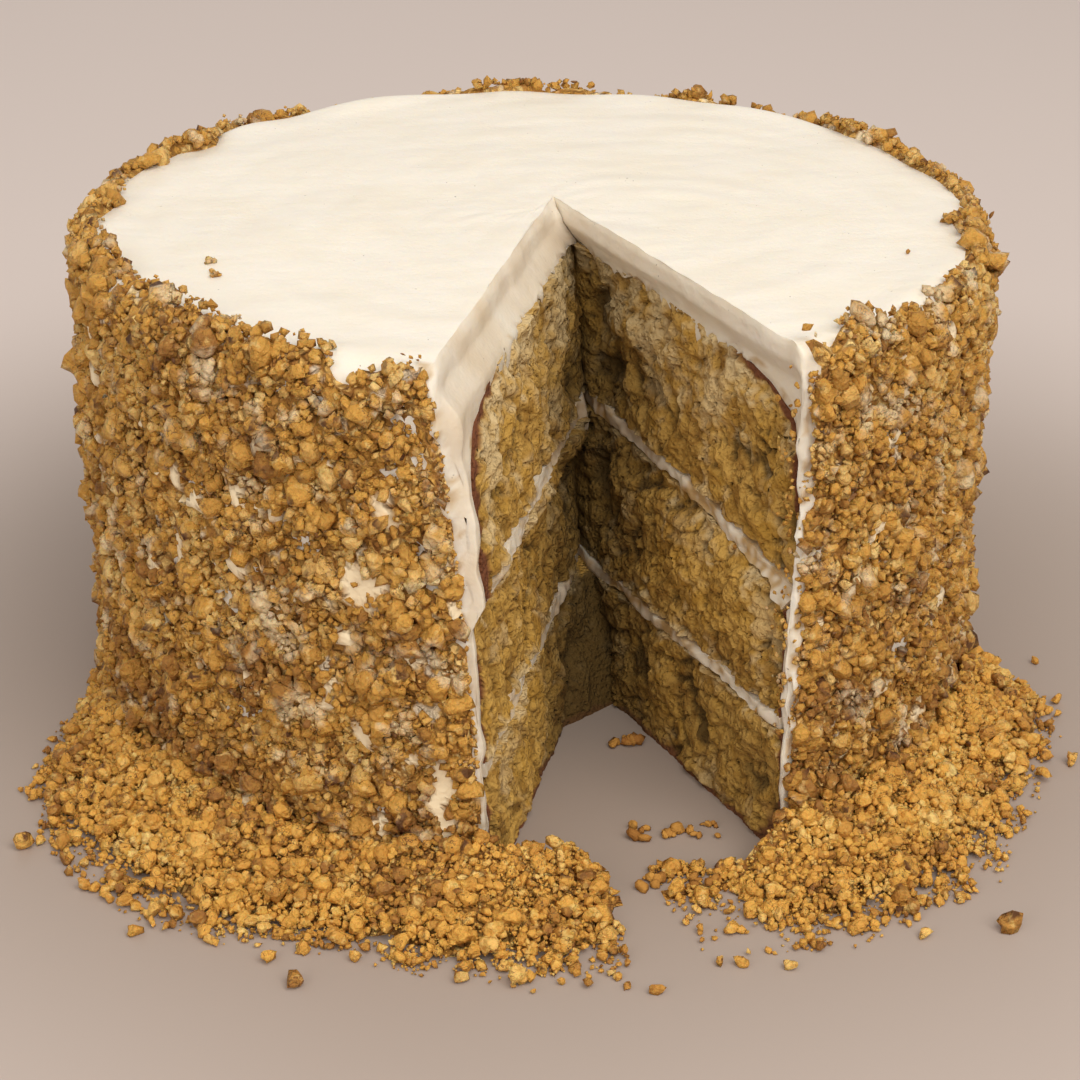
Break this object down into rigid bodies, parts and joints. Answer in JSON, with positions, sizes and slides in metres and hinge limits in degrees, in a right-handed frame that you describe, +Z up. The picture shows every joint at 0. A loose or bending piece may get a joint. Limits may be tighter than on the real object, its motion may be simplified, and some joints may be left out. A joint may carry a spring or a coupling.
{
  "type": "banana cake",
  "caption": "Tall round layer cake with cream between its layers and over top and side, chopped nuts on the side and fallen round its foot, and a slice cut out.",
  "frame": {"origin": "middle of the cake's underside, on the surface that it stands on", "axes": "+Z up, -Y towards the mouth of the missing slice, +X to the right of someone who looks into it"},
  "size_m": [0.2504, 0.2505, 0.1234],
  "materials": {
    "banana_crumb": "moist open cake crumb with a browned skin",
    "cream": "soft cream with a low sheen",
    "chopped_nuts": "dry chopped nuts, pale inside with dark skin",
    "fallen_nuts": "dry fine nut crumbs"
  },
  "bodies": {
    "root": {"cake_layer_lower": "banana_crumb", "cake_layer_middle": "banana_crumb", "cake_layer_upper": "banana_crumb", "filling_lower": "cream", "filling_upper": "cream", "frosting": "cream", "nut_coat": "chopped_nuts", "nut_drift": "fallen_nuts"}
  },
  "joints": []
}
